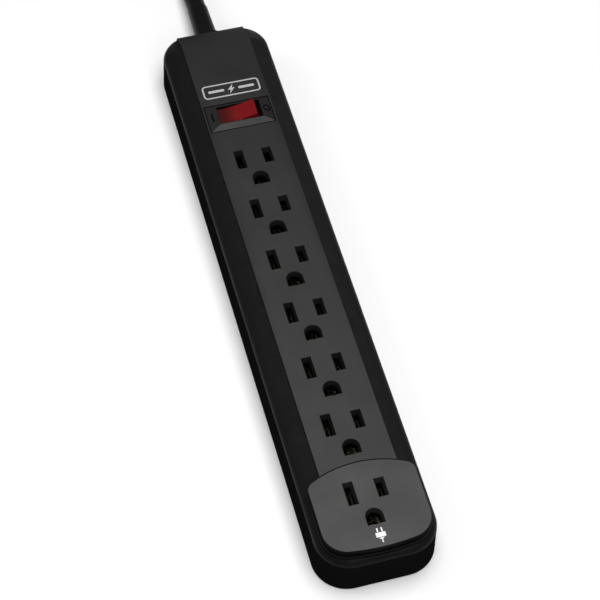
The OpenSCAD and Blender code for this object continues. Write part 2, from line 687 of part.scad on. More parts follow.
module cord_hank() color([0.05, 0.05, 0.05]) translate([0, hank_y, 0]) difference() {
    union() {
        linear_extrude(height = top_layers * layer) polygon(hank_outline());
        translate([0, 0, top_layers * layer - eps]) linear_extrude(height = layer) intersection() {
            polygon(hank_outline());
            union() {
                translate([-2 * loop_r, top_turn_y]) square([4 * loop_r, 4 * loop_r]);
                translate([top_lane_x - loop_r, -top_turn_y - cord_d]) square([loop_r, 4 * loop_r]);
            }
        }
    }
    box(-flare_x, flare_x, tie_y0, tie_y1, -1, tie_t);
}

module hank_tie() color([0.1, 0.1, 0.1]) translate([0, hank_y, 0]) difference() {
    box(-tie_x - tie_t, tie_x + tie_t, tie_y0, tie_y1, 0, tie_h + tie_t);
    box(-tie_x, tie_x, tie_y0 - 1, tie_y1 + 1, tie_t, tie_h);
}

module cord_tail() color([0.04, 0.04, 0.04])
    translate([0, hank_y, 0]) tube(smooth(tail_route, 3), cord_r, cord_sides);

// The plug's own parts are drawn along +Y from the back of its body, about its axis
module at_plug() {
    translate([plug_x, plug_y, plug_z]) rotate([0, 0, 180]) children();
}

module plug_strain_relief() color([0.03, 0.03, 0.03]) at_plug() rotate([-90, 0, 0]) difference() {
    translate([0, 0, -plug_relief_l])
        cylinder(r1 = cord_r + 0.5, r2 = cord_r + 2.2, h = plug_relief_l, $fn = fine);
    translate([0, 0, -plug_relief_l - 1])
        cylinder(r = cord_r + bore_gap, h = plug_relief_l - 4, $fn = fine);
}

module plug_body() color([0.04, 0.04, 0.04]) at_plug() difference() {
    union() {
        box(-plug_w / 2, plug_w / 2, grip_l, plug_l, 1.5 - plug_h / 2, plug_h / 2 - 1.5);
        box(1.5 - plug_w / 2, plug_w / 2 - 1.5, grip_l, plug_l, -plug_h / 2, plug_h / 2);
        box(-grip_l * 0.65, grip_l * 0.65, 0, grip_l + eps, 5 - plug_h / 2, plug_h / 2 - 5);
        box(-grip_l * 0.55, grip_l * 0.55, 0, grip_l + eps, 3.4 - plug_h / 2, plug_h / 2 - 3.4);
    }
    for (s = [-1, 1]) for (y = [3:3:12])
        box(s * grip_l * 0.65 - 0.7, s * grip_l * 0.65 + 0.7, y, y + 1.4, -6, 6);
    for (s = [-1, 1]) box(s * blade_x - blade_t / 2 - snug, s * blade_x + blade_t / 2 + snug,
        plug_l - rooted - 0.1, plug_l + 1, blade_up - blade_w / 2 - snug, blade_up + blade_w / 2 + snug);
    translate([0, plug_l - rooted - 0.1, blade_up + ground_dy]) rotate([-90, 0, 0])
        cylinder(r = pin_root_r + snug, h = plug_l, $fn = medium);
}

module plug_blades() color([0.82, 0.7, 0.4]) at_plug() for (s = [-1, 1]) difference() {
    box(s * blade_x - blade_t / 2, s * blade_x + blade_t / 2, plug_l - rooted, plug_l + blade_l,
        blade_up - blade_w / 2, blade_up + blade_w / 2);
    translate([s * blade_x, plug_l + blade_l - 4.4, blade_up]) rotate([0, 90, 0])
        cylinder(r = 1.6, h = 2 * blade_t, center = true, $fn = medium);
}

module plug_ground_pin() color([0.82, 0.7, 0.4]) at_plug() translate([0, 0, blade_up + ground_dy])
    rotate([-90, 0, 0]) {
        translate([0, 0, plug_l - rooted]) cylinder(r = pin_root_r, h = rooted + eps, $fn = medium);
        translate([0, 0, plug_l]) cylinder(r = pin_r, h = pin_l - pin_r, $fn = medium);
        translate([0, 0, plug_l + pin_l - pin_r]) sphere(r = pin_r, $fn = medium);
    }

top_housing();
outlet_panel();
adapter_pad();
bottom_cover();
housing_screws();
switch_bezel();
switch_rocker();
switch_body();
switch_terminals();
contact_bridge();
rocker_plunger();
plunger_spring();
neon_lamp();
lamp_resistor();
bus_carrier();
line_bus();
neutral_bus();
ground_bus();
line_contacts();
neutral_contacts();
ground_contacts();
surge_board();
varistors();
thermal_fuse();
spade_connectors();
line_lead();
neutral_lead();
ground_lead();
switched_lead();
cord_clamp();
clamp_screws();
strain_relief();
power_cord();
cord_hank();
hank_tie();
cord_tail();
plug_strain_relief();
plug_body();
plug_blades();
plug_ground_pin();
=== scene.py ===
"""Looks of the power strip: camera, mains lead, finishes, strap, marks and studio. Metres throughout."""
import math

import bmesh
import bpy
from mathutils import Matrix, Vector


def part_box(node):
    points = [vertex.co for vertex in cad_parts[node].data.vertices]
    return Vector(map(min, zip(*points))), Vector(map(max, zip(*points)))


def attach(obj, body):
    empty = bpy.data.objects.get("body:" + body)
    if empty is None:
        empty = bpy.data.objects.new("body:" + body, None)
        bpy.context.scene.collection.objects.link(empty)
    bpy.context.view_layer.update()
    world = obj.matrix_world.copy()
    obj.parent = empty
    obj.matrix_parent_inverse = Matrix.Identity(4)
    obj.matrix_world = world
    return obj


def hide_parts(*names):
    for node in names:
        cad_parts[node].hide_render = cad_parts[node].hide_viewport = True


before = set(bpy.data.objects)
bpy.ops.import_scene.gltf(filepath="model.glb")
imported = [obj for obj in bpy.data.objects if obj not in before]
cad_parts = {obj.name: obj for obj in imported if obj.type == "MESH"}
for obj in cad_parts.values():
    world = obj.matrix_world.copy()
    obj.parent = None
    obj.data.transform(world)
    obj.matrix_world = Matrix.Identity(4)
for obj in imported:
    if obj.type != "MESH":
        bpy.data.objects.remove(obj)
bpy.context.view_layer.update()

MM = 0.001
# Where things are, read from the CAD nodes
BEZEL_LOW, BEZEL_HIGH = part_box("switch_bezel")
HANK_LOW, HANK_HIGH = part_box("cord_hank")
TIE_LOW, TIE_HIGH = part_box("hank_tie")
PANEL_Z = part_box("outlet_panel")[1].z
PAD_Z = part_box("adapter_pad")[1].z
SWITCH_Y = (BEZEL_LOW.y + BEZEL_HIGH.y) / 2


# ---------------------------------------------------------------- camera

CAMERA_AT = Vector((-0.13399, -0.44539, 0.66342))
CAMERA_AIM = Vector((0.004458, -0.0042, 0))
CAMERA_ROLL = 2.4396
CAMERA_LENS = 110.06
SENSOR = 36
CLIP_START = 0.01


def make_camera():
    """A camera that looks at a point on the floor, then rolls about its own axis."""
    data = bpy.data.cameras.new("camera")
    data.lens = CAMERA_LENS
    data.sensor_width = SENSOR
    data.clip_start = CLIP_START
    camera = bpy.data.objects.new("camera", data)
    bpy.context.scene.collection.objects.link(camera)
    level = (CAMERA_AIM - CAMERA_AT).to_track_quat("-Z", "Y").to_matrix()
    turn = level @ Matrix.Rotation(math.radians(CAMERA_ROLL), 3, "Z")
    camera.matrix_world = Matrix.Translation(CAMERA_AT) @ turn.to_4x4()
    bpy.context.scene.camera = camera


make_camera()


# ---------------------------------------------------------------- mains lead

CORD_D = 0.009
LOOP_R = 4 * CORD_D
LANE_OUT = 1.5 * CORD_D
FLARE_R = 4 * CORD_D
WAIST_HALF = 0.009
FLARE_X = LANE_OUT + FLARE_R
LOOP_DY = WAIST_HALF + math.sqrt((LOOP_R + FLARE_R) ** 2 - FLARE_X**2)
FLARE_A = math.degrees(math.acos(FLARE_X / (LOOP_R + FLARE_R)))
HANK_Y = (HANK_LOW.y + HANK_HIGH.y) / 2
STEPS_A_TURN = 96
STEPS_A_POINT = 5
# The hank's line starts this many degrees into its first end loop, makes its whole turns, and stops
# this part of a turn before the end of the next far loop
START_ANGLE = 30
WHOLE_TURNS = 3
STOP_SHORT = 0.012
# Moves between lanes and between layers: turn where each starts, turns it takes, diameters moved
INWARD_MOVES = ((0.6, 0.4, 1), (2.2, 0.35, -1), (3.33, 0.25, 1))
UPWARD_MOVES = ((1.3, 0.4, 1), (3.08, 0.25, 1))
# The free lead's route, from the clamp to where it joins the hank
CORD_ROUTE = [(0, 0.124, 0.009), (0, 0.140, 0.009), (0, 0.156, 0.009), (0, 0.168, 0.0088),
              (0, 0.180, 0.0076), (0, 0.190, 0.0062), (-0.0012, 0.1993, 0.0052),
              (-0.0048, 0.208, 0.0047), (-0.0106, 0.2154, 0.0046)]
# The last of the lead, from the hank's top turn into the plug, about the hank's middle
TAIL_ROUTE = [(0.0166, 0.0406, 0.0226), (0.0114, 0.034, 0.0234), (0.0086, 0.029, 0.0252),
              (0.0066, 0.024, 0.0276), (0.0053, 0.0196, 0.0294), (0.005, 0.016, 0.030),
              (0.005, 0.008, 0.030), (0.005, -0.010, 0.030)]


def spline(a, b, c, d, t):
    """The point a share t of the way from b to c, on a smooth line that also passes a and d."""
    return 0.5 * (2 * b + (c - a) * t + (2 * a - 5 * b + 4 * c - d) * t * t
                  + (3 * b - a - 3 * c + d) * t**3)


def smooth(points, steps):
    """A smooth line through the points, with so many steps between neighbours."""
    p = [Vector(q) for q in points]
    line = [spline(p[max(i - 1, 0)], p[i], p[i + 1], p[min(i + 2, len(p) - 1)], k / steps)
            for i in range(len(p) - 1) for k in range(steps)]
    return line + [p[-1]]


def ease(u):
    """0 to 1 with a soft start and end."""
    u = min(1.0, max(0.0, u))
    return u * u * (3 - 2 * u)


def moved(moves, turns):
    """How far the moves have shifted the lead sideways or up, so many turns round the hank."""
    return CORD_D * sum(size * ease((turns - start) / taken) for start, taken, size in moves)


def lane_stretches():
    """The hank's outer lane, once round clockwise from its end nearest the strip, as (length, stretch).
    A stretch is ("loop" or "flare", centre, from, to) with its angles in degrees, or ("straight",
    side)."""
    a, c, h, w = FLARE_A, LOOP_DY, WAIST_HALF, FLARE_X
    loops_and_flares = [
        ("loop", (0, -c), 270, 180 - a), ("flare", (-w, -h), -a, 0), ("straight", -1),
        ("flare", (-w, h), 0, a), ("loop", (0, c), 180 + a, -a), ("flare", (w, h), 180 - a, 180),
        ("straight", 1), ("flare", (w, -h), 180, 180 + a), ("loop", (0, -c), a, -90)]
    found = []
    for s in loops_and_flares:
        radius = {"loop": LOOP_R, "flare": FLARE_R}.get(s[0], 0)
        length = 2 * h if s[0] == "straight" else radius * math.radians(abs(s[3] - s[2]))
        found.append((length, s))
    return found


STRETCHES = lane_stretches()
LANE_LENGTH = sum(length for length, _ in STRETCHES)


def on_lane(turns, inwards):
    """The point so many turns round the hank, moved inwards from the outer lane."""
    left = (turns % 1) * LANE_LENGTH
    for length, s in STRETCHES:
        if left <= length or s is STRETCHES[-1][1]:
            break
        left -= length
    u = left / length
    if s[0] == "straight":
        return Vector((s[1] * (LANE_OUT - inwards), s[1] * WAIST_HALF * (1 - 2 * u), 0))
    angle = math.radians(s[2] + (s[3] - s[2]) * u)
    radius = LOOP_R - inwards if s[0] == "loop" else FLARE_R + inwards
    return Vector((s[1][0] + radius * math.cos(angle), s[1][1] + radius * math.sin(angle), 0))


def hank_line():
    """Three and a half turns: the outer lane, the inner lane, up to the second layer, out again, and
    up to a third layer, where the tail begins."""
    first = LOOP_R * math.radians(START_ANGLE) / LANE_LENGTH
    through_far_loop = sum(length for length, _ in STRETCHES[:5]) / LANE_LENGTH
    last = WHOLE_TURNS + through_far_loop - STOP_SHORT
    line = []
    steps = int((last - first) * STEPS_A_TURN)
    for k in range(steps + 1):
        t = first + (last - first) * k / steps
        height = CORD_D / 2 + moved(UPWARD_MOVES, t)
        line.append(on_lane(t, moved(INWARD_MOVES, t)) + Vector((0, HANK_Y, height)))
    return line


def lead_line():
    """The whole lead: its free part, the hank, and the tail into the plug."""
    hank = hank_line()
    tail = [Vector(p) + Vector((0, HANK_Y, 0)) for p in TAIL_ROUTE]
    free = smooth(CORD_ROUTE + [hank[0], hank[2]], STEPS_A_POINT)[:-STEPS_A_POINT]
    return free + hank[1:] + smooth(tail, STEPS_A_POINT)


def curve_tube(name, line, radius, sides):
    """A round tube along a line. The radius is set on the points, because Blender widens a curve's
    box by it."""
    data = bpy.data.curves.new(name, "CURVE")
    data.dimensions = "3D"
    data.bevel_depth = 1
    data.bevel_resolution = sides
    data.use_fill_caps = True
    run = data.splines.new("POLY")
    run.points.add(len(line) - 1)
    for point, at in zip(run.points, line):
        point.co = (*at, 1)
        point.radius = radius
    run.use_smooth = True
    made = bpy.data.objects.new(name, data)
    bpy.context.scene.collection.objects.link(made)
    return made


lead = curve_tube("mains_lead", lead_line(), CORD_D / 2, sides=6)
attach(lead, "strip")
for node in ("power_cord", "cord_hank", "cord_tail"):
    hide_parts(node)


# ---------------------------------------------------------------- mesh helpers


INK_LIFT = 0.02 * MM
INK_THICK = 0.04 * MM


def from_bmesh(name, mesh, flat=False):
    """A new piece that rides on the strip."""
    data = bpy.data.meshes.new(name)
    bmesh.ops.recalc_face_normals(mesh, faces=mesh.faces)
    mesh.to_mesh(data)
    mesh.free()
    if not flat:
        data.shade_smooth()
    made = bpy.data.objects.new(name, data)
    bpy.context.scene.collection.objects.link(made)
    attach(made, "strip")
    return made


def arc(centre, radius, start, end, steps):
    turns = [math.radians(start + (end - start) * i / steps) for i in range(steps + 1)]
    return [(centre[0] + radius * math.cos(t), centre[1] + radius * math.sin(t)) for t in turns]


def round_box(x0, x1, y0, y1, r, steps=5):
    """A rectangle's outline with round corners, anticlockwise from its right side."""
    centres = ((x1 - r, y1 - r), (x0 + r, y1 - r), (x0 + r, y0 + r), (x1 - r, y0 + r))
    return [p for i, at in enumerate(centres) for p in arc(at, r, 90 * i, 90 * i + 90, steps)]


def printed(name, outlines, place, thick=INK_THICK):
    """Thin ink: closed outlines in the plane of place's X and Y, each raised a little along its Z."""
    mesh = bmesh.new()
    for outline in outlines:
        face = mesh.faces.new([mesh.verts.new(place @ Vector((x, y, INK_LIFT))) for x, y in outline])
        raised = bmesh.ops.extrude_face_region(mesh, geom=[face])["geom"]
        up = place.to_3x3() @ Vector((0, 0, thick))
        bmesh.ops.translate(mesh, vec=up, verts=[g for g in raised if isinstance(g, bmesh.types.BMVert)])
    return from_bmesh(name, mesh, flat=True)


# ---------------------------------------------------------------- shader helpers


class Shader:
    """A material's node tree, built with short calls."""

    def __init__(self, name):
        self.material = bpy.data.materials.new(name)
        self.material.use_nodes = True
        self.tree = self.material.node_tree
        self.tree.nodes.clear()
        self.out = self.add("ShaderNodeOutputMaterial")
        self.main = self.add("ShaderNodeBsdfPrincipled")
        self.link(self.main.outputs[0], self.out.inputs["Surface"])
        self.where = self.add("ShaderNodeTexCoord").outputs["Object"]

    def add(self, kind, **settings):
        node = self.tree.nodes.new(kind)
        for key, value in settings.items():
            setattr(node, key, value)
        return node

    def link(self, a, b):
        self.tree.links.new(a, b)

    def set(self, **values):
        """Sets sockets of the main shader by name, with _ for a space."""
        for key, value in values.items():
            socket = self.main.inputs[key.replace("_", " ")]
            socket.default_value = (*value, 1) if isinstance(value, tuple) else value

    def noise(self, scale, detail=3, stretch=None):
        """Noise in object space, with so many cells to the metre."""
        node = self.add("ShaderNodeTexNoise")
        node.inputs["Scale"].default_value = scale
        node.inputs["Detail"].default_value = detail
        source = self.where
        if stretch:
            squeeze = self.add("ShaderNodeMapping")
            squeeze.inputs["Scale"].default_value = stretch
            self.link(self.where, squeeze.inputs["Vector"])
            source = squeeze.outputs[0]
        self.link(source, node.inputs["Vector"])
        return node.outputs[0]

    def remap(self, value, low, high, from_low=0.3, from_high=0.7):
        """Takes a value's own range, by default that of noise, to low and high."""
        node = self.add("ShaderNodeMapRange")
        for key, number in (("From Min", from_low), ("From Max", from_high),
                            ("To Min", low), ("To Max", high)):
            node.inputs[key].default_value = number
        self.link(value, node.inputs["Value"])
        return node.outputs[0]

    def mix(self, amount, a, b):
        node = self.add("ShaderNodeMix", data_type="RGBA")
        self.link(amount, node.inputs["Factor"])
        for socket, colour in ((node.inputs[6], a), (node.inputs[7], b)):
            if isinstance(colour, tuple):
                socket.default_value = (*colour, 1)
            else:
                self.link(colour, socket)
        return node.outputs[2]

    def bump(self, height, strength, distance, under=None):
        node = self.add("ShaderNodeBump")
        node.inputs["Strength"].default_value = strength
        node.inputs["Distance"].default_value = distance
        self.link(height, node.inputs["Height"])
        if under:
            self.link(under, node.inputs["Normal"])
        return node.outputs[0]

    def edges(self, low=0.52, high=0.6):
        """Where the surface is a sharp outward edge, 0 to 1."""
        return self.remap(self.add("ShaderNodeNewGeometry").outputs["Pointiness"], 0, 1, low, high)


def scaled(colour, by):
    return tuple(c * by for c in colour)


def moulded(name, colour, rough, grain=0.25, wear=0.35, grain_scale=2600, gloss=0.5):
    """Moulded plastic: fine spark grain, slow gloss changes, and edges rubbed paler."""
    s = Shader(name)
    s.set(Specular_IOR_Level=gloss)
    patches = s.noise(scale=38, detail=4)
    s.link(s.remap(patches, rough * 0.86, rough * 1.16), s.main.inputs["Roughness"])
    pale = tuple(min(1.0, c * 1.6 + 0.006) for c in colour)
    shade = s.mix(s.remap(s.noise(scale=9, detail=2), 0, 0.5), colour, scaled(colour, 1.12))
    worn = s.add("ShaderNodeMath", operation="MULTIPLY")
    s.link(s.edges(), worn.inputs[0])
    s.link(s.remap(s.noise(scale=120, detail=3), 0, wear), worn.inputs[1])
    s.link(s.mix(worn.outputs[0], shade, pale), s.main.inputs["Base Color"])
    fine = s.bump(s.noise(scale=grain_scale, detail=2), grain, 0.04 * MM)
    s.link(s.bump(s.noise(scale=160, detail=2), 0.06, 0.2 * MM, fine), s.main.inputs["Normal"])
    return s.material


def metal(name, colour, rough=0.28, stretch=(1, 14, 1)):
    """Stamped or plated metal with drawn scratches and a little tarnish."""
    s = Shader(name)
    s.set(Metallic=1.0)
    scratch = s.noise(scale=420, detail=3, stretch=stretch)
    s.link(s.remap(scratch, rough * 0.7, rough * 1.5), s.main.inputs["Roughness"])
    tarnish = s.remap(s.noise(scale=60, detail=4), 0, 0.6)
    s.link(s.mix(tarnish, colour, scaled(colour, 0.62)), s.main.inputs["Base Color"])
    s.link(s.bump(scratch, 0.12, 0.03 * MM), s.main.inputs["Normal"])
    return s.material


def rubbery(name, colour, rough=0.42, gloss=0.45):
    """Flexible PVC: satin, with a slight waviness and faint scuffs."""
    s = Shader(name)
    s.set(Specular_IOR_Level=gloss)
    s.link(s.remap(s.noise(scale=55, detail=3), rough * 0.85, rough * 1.2), s.main.inputs["Roughness"])
    scuffed = tuple(c * 1.5 + 0.002 for c in colour)
    scuffs = s.remap(s.noise(scale=240, detail=4), 0, 0.3, 0.55, 0.8)
    s.link(s.mix(scuffs, colour, scuffed), s.main.inputs["Base Color"])
    fine = s.bump(s.noise(scale=1800, detail=2), 0.15, 0.04 * MM)
    s.link(s.bump(s.noise(scale=90, detail=2), 0.1, 0.3 * MM, fine), s.main.inputs["Normal"])
    return s.material


def tinted(name, colour, rough, clear, ior=1.46):
    """See-through tinted plastic or glass with moulding streaks."""
    s = Shader(name)
    s.set(Transmission_Weight=clear, IOR=ior)
    s.link(s.remap(s.noise(scale=70, detail=3), rough * 0.8, rough * 1.25), s.main.inputs["Roughness"])
    streaks = s.remap(s.noise(scale=150, detail=3), 0, 0.4)
    s.link(s.mix(streaks, colour, scaled(colour, 0.8)), s.main.inputs["Base Color"])
    s.link(s.bump(s.noise(scale=500, detail=2), 0.05, 0.1 * MM), s.main.inputs["Normal"])
    return s.material


DEEP_RED = (0.06, 0.002, 0.003)
LIT_RED = (0.17, 0.002, 0.004)
STREAK_RED = (0.09, 0.002, 0.003)
# Painted lamp light: the colour of the paler spot over the lamp.
PAINTED_LAMP_AMBER = (0.13, 0.02, 0.003)
GLOW_RED = (1.0, 0.02, 0.03)
GLOW_POWER = 0.02
# Across the rocker, where the glow starts and where it is full
GLOW_FROM_X, GLOW_TO_X = -6.6 * MM, -1.2 * MM
# The paler spot over the lamp, painted lamp light: its middle, how strong it is, and how far it reaches
SPOT_AT = (-2.2 * MM, SWITCH_Y - 0.6 * MM, PANEL_Z + 2.2 * MM)
SPOT_SHARE = 0.55
SPOT_CORE_R, SPOT_R = 0.6 * MM, 2.6 * MM


def lit_red(name):
    """Clear red plastic over the lamp: deep at the pressed end, glowing towards the lamp."""
    s = Shader(name)
    s.set(Transmission_Weight=0.2, IOR=1.45, Specular_IOR_Level=0.5)
    along = s.add("ShaderNodeSeparateXYZ")
    s.link(s.where, along.inputs[0])
    glow = s.remap(along.outputs[0], 0, 1, GLOW_FROM_X, GLOW_TO_X)
    red = s.mix(glow, DEEP_RED, LIT_RED)
    away = s.add("ShaderNodeVectorMath", operation="DISTANCE")
    s.link(s.where, away.inputs[0])
    away.inputs[1].default_value = SPOT_AT
    spot = s.remap(away.outputs["Value"], SPOT_SHARE, 0, SPOT_CORE_R, SPOT_R)
    streak = s.remap(s.noise(scale=180, detail=3), 0, 0.35)
    s.link(s.mix(streak, s.mix(spot, red, PAINTED_LAMP_AMBER), STREAK_RED), s.main.inputs["Base Color"])
    s.link(s.remap(s.noise(scale=90, detail=3), 0.1, 0.18), s.main.inputs["Roughness"])
    s.link(s.bump(s.noise(scale=420, detail=2), 0.08, 0.1 * MM), s.main.inputs["Normal"])
    s.set(Emission_Color=GLOW_RED)
    s.link(s.remap(glow, 0, GLOW_POWER, 0, 1), s.main.inputs["Emission Strength"])
    return s.material


def ink(name, colour, gloss=0.5):
    """Pad-printed ink with a slightly broken edge and grain."""
    s = Shader(name)
    s.set(Specular_IOR_Level=gloss)
    s.link(s.remap(s.noise(scale=300, detail=3), 0.4, 0.6), s.main.inputs["Roughness"])
    broken = s.remap(s.noise(scale=900, detail=4), 0, 0.5, 0.5, 0.75)
    s.link(s.mix(broken, colour, scaled(colour, 0.7)), s.main.inputs["Base Color"])
    s.link(s.bump(s.noise(scale=1500, detail=2), 0.1, 0.02 * MM), s.main.inputs["Normal"])
    return s.material


# ---------------------------------------------------------------- finishes on the CAD nodes

BLACK = (0.0052, 0.0052, 0.0050)
# The next two colours are painted shade for upright faces: a darker grey for the panel's and pad's
# sides, and the housing's black again for its walls, on a copy that reflects nothing.
SIDE_GREY_PAINTED_SHADE = (0.0022, 0.0022, 0.0022)
WALL = (0.0056, 0.0056, 0.0054)
PANEL_GREY = (0.0098, 0.0096, 0.0093)
# Painted light: the pad is the panel's plastic, painted about twice as light for the brighter light it
# catches.
PAD_GREY_PAINTED_LIT = (0.0200, 0.0196, 0.0192)
COVER_BLACK = (0.012, 0.012, 0.013)
BEZEL_BLACK = (0.006, 0.0058, 0.0056)
SWITCH_BLACK = (0.02, 0.02, 0.022)
CREAM = (0.62, 0.56, 0.42)
NYLON = (0.75, 0.74, 0.68)
BOARD_GREEN = (0.03, 0.16, 0.05)
VARISTOR_BLUE = (0.05, 0.1, 0.4)
TAN = (0.5, 0.36, 0.2)
NEON = (1.0, 0.55, 0.3)
BRASS = (0.83, 0.62, 0.30)
# Painted shade: brass painted nearly black, for the shade deep in the slots where the contacts sit.
BRASS_PAINTED_SHADED = (0.045, 0.037, 0.026)
COPPER = (0.85, 0.45, 0.28)
STEEL = (0.62, 0.62, 0.64)
TIN = (0.75, 0.75, 0.76)
LEAD_BLACK = (0.0035, 0.0035, 0.0036)
PLUG_BLACK = (0.010, 0.010, 0.0105)
WIRE_WHITE = (0.7, 0.7, 0.66)
WIRE_GREEN = (0.02, 0.25, 0.06)
WIRE_BLACK = (0.02, 0.02, 0.02)
FINISHES = {
    "housing": moulded("housing_plastic", BLACK, 0.42, grain=0.3, gloss=0.07),
    # Painted shade: the housing's walls, on a copy of its black that reflects nothing
    "wall": moulded("wall_plastic_painted_shade", WALL, 0.5, grain=0.4, gloss=0.0),
    "panel": moulded("panel_plastic", PANEL_GREY, 0.45, grain=0.3, gloss=0.38),
    # Painted shade: the panel's and pad's upright faces, painted darker than their tops
    "shaded_side": moulded("side_plastic_painted_shade", SIDE_GREY_PAINTED_SHADE, 0.5, grain=0.4, gloss=0.02),
    # Painted light: the pad painted about twice as light as the panel's same plastic.
    "pad": moulded("pad_plastic_painted_lit", PAD_GREY_PAINTED_LIT, 0.44, grain=0.3, gloss=0.4),
    "cover": moulded("cover_plastic", COVER_BLACK, 0.5, grain=0.4, gloss=0.3),
    "bezel": moulded("bezel_plastic", BEZEL_BLACK, 0.34, grain=0.15, gloss=0.45),
    "switch": moulded("switch_plastic", SWITCH_BLACK, 0.45),
    "cream": moulded("cream_plastic", CREAM, 0.5),
    "nylon": moulded("white_nylon", NYLON, 0.45),
    "board": moulded("board_laminate", BOARD_GREEN, 0.4, grain=0.5, grain_scale=5200),
    "varistor": moulded("varistor_epoxy", VARISTOR_BLUE, 0.28),
    "tan": moulded("tan_lacquer", TAN, 0.35),
    "red": lit_red("rocker_plastic"),
    "neon": tinted("neon_glass", NEON, rough=0.05, clear=0.8),
    "brass": metal("brass", BRASS),
    # Painted shade: contacts and buses in brass painted nearly black, for the shade in the slots.
    "contact": metal("contact_brass", BRASS_PAINTED_SHADED, 0.4),
    "copper": metal("copper", COPPER),
    "steel": metal("plated_steel", STEEL, 0.32),
    "tin": metal("tinned_crimp", TIN, 0.35),
    "cord": rubbery("cord_jacket", LEAD_BLACK, gloss=0.12),
    "relief": rubbery("relief_vinyl", LEAD_BLACK, gloss=0.12),
    "plug": rubbery("plug_vinyl", PLUG_BLACK, 0.36, gloss=0.3),
    "white_wire": rubbery("white_insulation", WIRE_WHITE),
    "green_wire": rubbery("green_insulation", WIRE_GREEN),
    "black_wire": rubbery("black_insulation", WIRE_BLACK),
}
NODE_FINISH = {
    "top_housing": "housing", "outlet_panel": "panel", "adapter_pad": "pad",
    "bottom_cover": "cover", "housing_screws": "steel", "switch_bezel": "bezel",
    "switch_rocker": "red", "switch_body": "switch", "switch_terminals": "brass",
    "contact_bridge": "copper", "rocker_plunger": "nylon", "plunger_spring": "steel",
    "neon_lamp": "neon", "lamp_resistor": "tan", "bus_carrier": "cream", "line_bus": "contact",
    "neutral_bus": "contact", "ground_bus": "contact", "line_contacts": "contact",
    "neutral_contacts": "contact", "ground_contacts": "contact", "surge_board": "board",
    "varistors": "varistor", "thermal_fuse": "tan", "spade_connectors": "tin",
    "line_lead": "black_wire", "neutral_lead": "white_wire", "ground_lead": "green_wire",
    "switched_lead": "black_wire", "cord_clamp": "cream", "clamp_screws": "steel",
    "strain_relief": "relief", "plug_strain_relief": "plug", "plug_body": "plug",
    "plug_blades": "brass", "plug_ground_pin": "brass"}
# Edge radius in millimetres of the nodes whose edges show
ROUNDED = {"top_housing": 0.35, "outlet_panel": 0.22, "adapter_pad": 0.3, "switch_bezel": 0.25,
           "switch_rocker": 0.35, "plug_body": 1.2, "plug_blades": 0.25, "strain_relief": 0.3,
           "plug_strain_relief": 0.5, "bottom_cover": 0.3}
# Nodes whose upright faces get painted shade, a duller copy of their plastic that is also darker on the
# panel and pad, and how far up a face may look and still get it
SHADED_SIDES = {"top_housing": "wall", "outlet_panel": "shaded_side", "adapter_pad": "shaded_side"}
UPRIGHT = 0.2
SAME_POINT = 0.005 * MM
EDGE_STEPS = 3
EDGE_ANGLE = 35


def finish_node(node, finish):
    """Gives a CAD node its finishes, and small rounds on its edges where they show."""
    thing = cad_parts[node]
    thing.data.materials.clear()
    thing.data.materials.append(FINISHES[finish])
    # Upright faces get painted shade: a duller copy of the plastic, darker on the panel and pad.
    if node in SHADED_SIDES:
        thing.data.materials.append(FINISHES[SHADED_SIDES[node]])
        for face in thing.data.polygons:
            face.material_index = 1 if face.normal.z < UPRIGHT else 0
    if node in ROUNDED:
        weld = thing.modifiers.new("weld", "WELD")
        weld.merge_threshold = SAME_POINT
        bevel = thing.modifiers.new("edges", "BEVEL")
        bevel.width = ROUNDED[node] * MM
        bevel.segments = EDGE_STEPS
        bevel.limit_method = "ANGLE"
        bevel.angle_limit = math.radians(EDGE_ANGLE)
        bevel.use_clamp_overlap = True
        flat = thing.modifiers.new("flat_faces", "WEIGHTED_NORMAL")
        flat.weight = 100


for node, finish in NODE_FINISH.items():
    finish_node(node, finish)
lead.data.materials.append(FINISHES["cord"])


# ---------------------------------------------------------------- strap round the hank


STRAP_T = 0.9 * MM
STRAP_CORNER, STRAP_INNER_CORNER = 6 * MM, 5.2 * MM
STRAP_EDGE = 0.6 * MM
# How much smaller the strap is at its two edges than between them, as a share of its size
STRAP_TAPER = 1 / 60


def strap(name, low, high):
    """A flat strap round a box section, with round corners and softened edges."""
    mesh = bmesh.new()
    outline = round_box(low.x, high.x, low.z, high.z, STRAP_CORNER)
    inner = round_box(low.x + STRAP_T, high.x - STRAP_T, low.z + STRAP_T, high.z - STRAP_T,
                      STRAP_INNER_CORNER)
    rows = {}
    for y, taper in ((low.y, STRAP_TAPER), (low.y + STRAP_EDGE, 0), (high.y - STRAP_EDGE, 0),
                     (high.y, STRAP_TAPER)):
        middle = Vector(((low.x + high.x) / 2, y, (low.z + high.z) / 2))
        for side, line, sign in (("out", outline, 1), ("in", inner, -1)):
            grown = 1 - sign * taper
            row = [mesh.verts.new(middle + (Vector((x, y, z)) - middle) * grown) for x, z in line]
            rows.setdefault(side, []).append(row)
    outside, inside = rows["out"], rows["in"]
    joined = list(zip(outside, outside[1:])) + list(zip(inside, inside[1:]))
    joined += [(outside[0], inside[0]), (outside[-1], inside[-1])]
    count = len(outline)
    for one, other in joined:
        for i in range(count):
            j = (i + 1) % count
            mesh.faces.new((one[i], one[j], other[j], other[i]))
    return from_bmesh(name, mesh)


tie = strap("hank_strap", TIE_LOW, TIE_HIGH)
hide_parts("hank_tie")
tie.data.materials.append(FINISHES["switch"])


# ---------------------------------------------------------------- printed and moulded marks

WHITE = ink("white_ink", (0.8, 0.8, 0.8))
SILVER = ink("silver_ink", (0.42, 0.42, 0.42))
# Near-black ink: the switch's moulded marks, and the painted shadow in the bezel's seam.
MARK_AND_SEAM_SHADOW_INK = ink("moulded_mark_and_seam_shadow", (0.0008, 0.0008, 0.0008), 0.02)
BEZEL_SLOPE = 4.3 * MM
